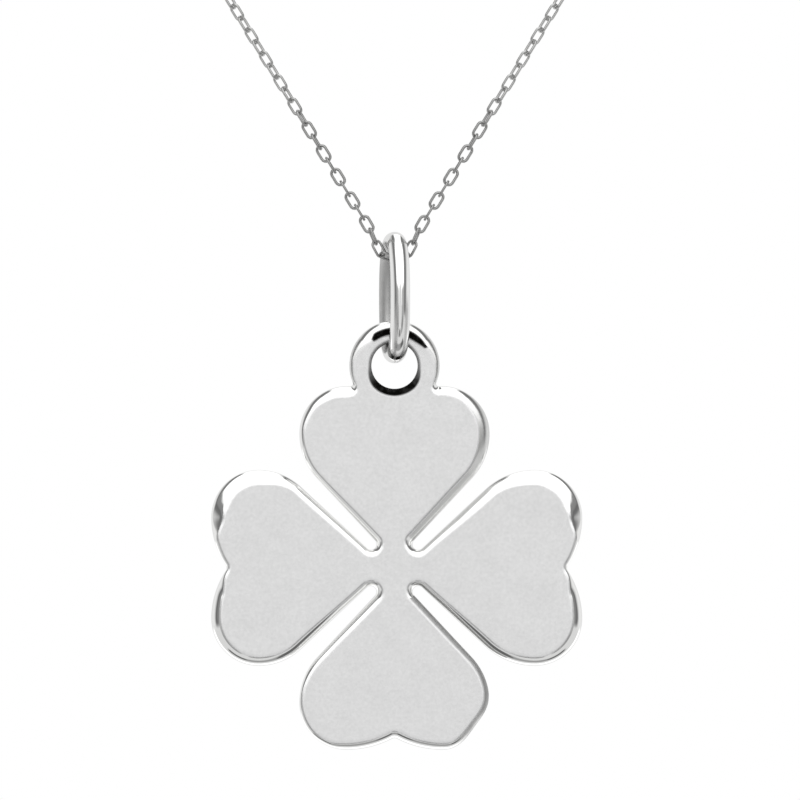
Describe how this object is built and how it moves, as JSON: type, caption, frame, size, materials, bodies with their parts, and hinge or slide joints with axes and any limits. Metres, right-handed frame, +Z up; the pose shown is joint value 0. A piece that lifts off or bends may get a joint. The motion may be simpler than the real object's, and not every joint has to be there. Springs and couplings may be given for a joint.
{
  "type": "four leaf clover pendant",
  "caption": "Flat polished clover of heart-shaped leaves with a ring cast on its top leaf, hanging from an oval bail on a very fine cable chain closed by a plain spring ring.",
  "frame": {"origin": "the point at the back of the neck where the clasp rests, in the middle of the spring ring and just in front of it", "axes": "+Z up, -Y the way the wearer faces and the clover's front, +X to the right of a viewer in front"},
  "size_m": [0.1106, 0.1066, 0.1491],
  "materials": {
    "clover_silver": "polished silver with a faintly satin face",
    "bail_silver": "polished silver wire",
    "chain_silver": "polished silver links",
    "clasp_silver": "polished silver"
  },
  "bodies": {
    "necklace": {"chain": "chain_silver", "clasp": "clasp_silver"},
    "bail": {"bail": "bail_silver"},
    "clover": {"clover": "clover_silver"}
  },
  "joints": [
    {"name": "bail_swing", "type": "hinge", "parent": "necklace", "child": "bail", "pos_m": [0, -0.103, -0.12], "axis": [0.9848, 0.1736, 0], "range_deg": [-50, 50]},
    {"name": "clover_swing", "type": "hinge", "parent": "bail", "child": "clover", "pos_m": [0, -0.103, -0.1251], "axis": [-0.1736, 0.9848, 0], "range_deg": [-40, 40]}
  ]
}
